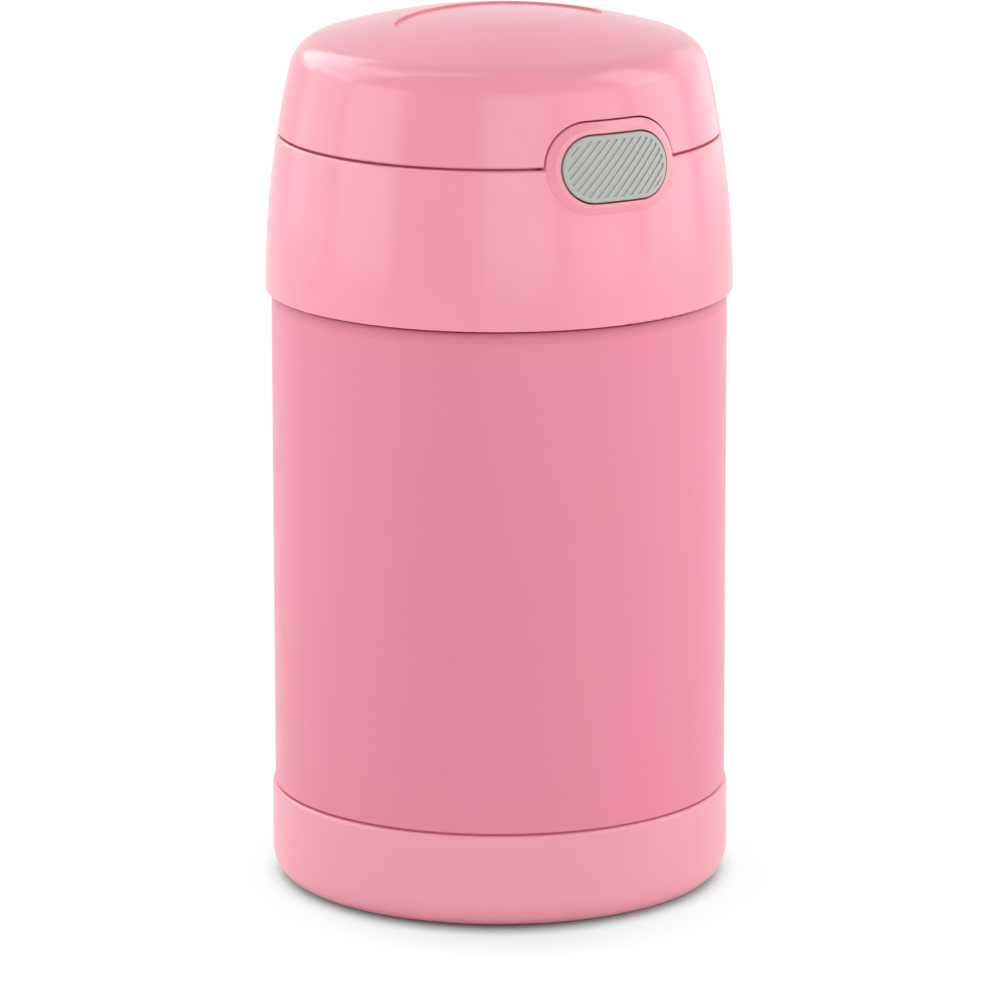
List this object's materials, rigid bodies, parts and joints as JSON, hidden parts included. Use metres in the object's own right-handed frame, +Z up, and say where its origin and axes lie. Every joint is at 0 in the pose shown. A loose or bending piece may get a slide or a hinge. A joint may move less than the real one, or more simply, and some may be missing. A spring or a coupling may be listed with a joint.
{
  "type": "insulated food jar",
  "caption": "Insulated steel food jar with a screw lid, a push-button hinged cover and a folding spoon stored inside the lid.",
  "frame": {"origin": "centre of the underside, on the surface the jar stands on", "axes": "+Z up along the jar's axis, -Y towards the push button, +Y towards the cover's hinge"},
  "size_m": [0.0914, 0.0914, 0.1723],
  "materials": {
    "painted_steel": "satin",
    "bare_steel": "brushed",
    "pink_plastic": "satin",
    "grey_plastic": "satin",
    "white_plastic": "satin",
    "silicone": "matte",
    "foam": "matte",
    "spring_steel": "satin",
    "sealing_glass": "gloss",
    "getter_metal": "matte"
  },
  "bodies": {
    "jar": {"outer_shell": "painted_steel", "shell_bottom": "bare_steel", "vacuum_seal": "sealing_glass", "inner_vessel": "bare_steel", "getter": "getter_metal", "base_cup": "pink_plastic"},
    "seal": {"lid_seal": "silicone"},
    "lid": {"stopper_shell": "white_plastic", "insulating_foam": "foam", "lid_collar": "pink_plastic", "hinge_pin": "bare_steel", "hinge_spring": "spring_steel", "button_springs": "spring_steel", "button_retainer": "white_plastic", "spoon_tray": "white_plastic"},
    "cover": {"top_cover": "pink_plastic", "cover_liner": "pink_plastic", "latch_hook": "pink_plastic"},
    "button": {"button_body": "white_plastic", "button_pad": "grey_plastic"},
    "spoon": {"spoon_bowl": "bare_steel", "spoon_handle": "bare_steel", "spoon_rivet": "bare_steel"}
  },
  "joints": [
    {"name": "lid_rise", "type": "slide", "parent": "jar", "child": "seal", "axis": [0, 0, 1], "range_m": [0, 0.0241]},
    {"name": "lid_turn", "type": "hinge", "parent": "seal", "child": "lid", "pos_m": [0, 0, 0.14], "axis": [0, 0, 1], "range_deg": [0, 1080]},
    {"name": "cover_open", "type": "hinge", "parent": "lid", "child": "cover", "pos_m": [0, 0.04261, 0.1487], "axis": [-1, 0, 0], "range_deg": [0, 105], "deforming": ["hinge_spring", "latch_hook"]},
    {"name": "spoon_lift", "type": "slide", "parent": "lid", "child": "spoon", "axis": [0, 0, 1], "range_m": [0, 0.0301]},
    {"name": "button_press", "type": "slide", "parent": "lid", "child": "button", "axis": [0, 1, 0], "range_m": [0, 0.002], "stiffness_N_per_m": 600, "deforming": ["button_springs"]}
  ],
  "couplings": [
    {"joint": "lid_rise", "follows": "lid_turn", "m_per_rad": 0.0012732},
    {"joint": "spoon_lift", "follows": "cover_open", "m_per_rad": 0.01637}
  ]
}
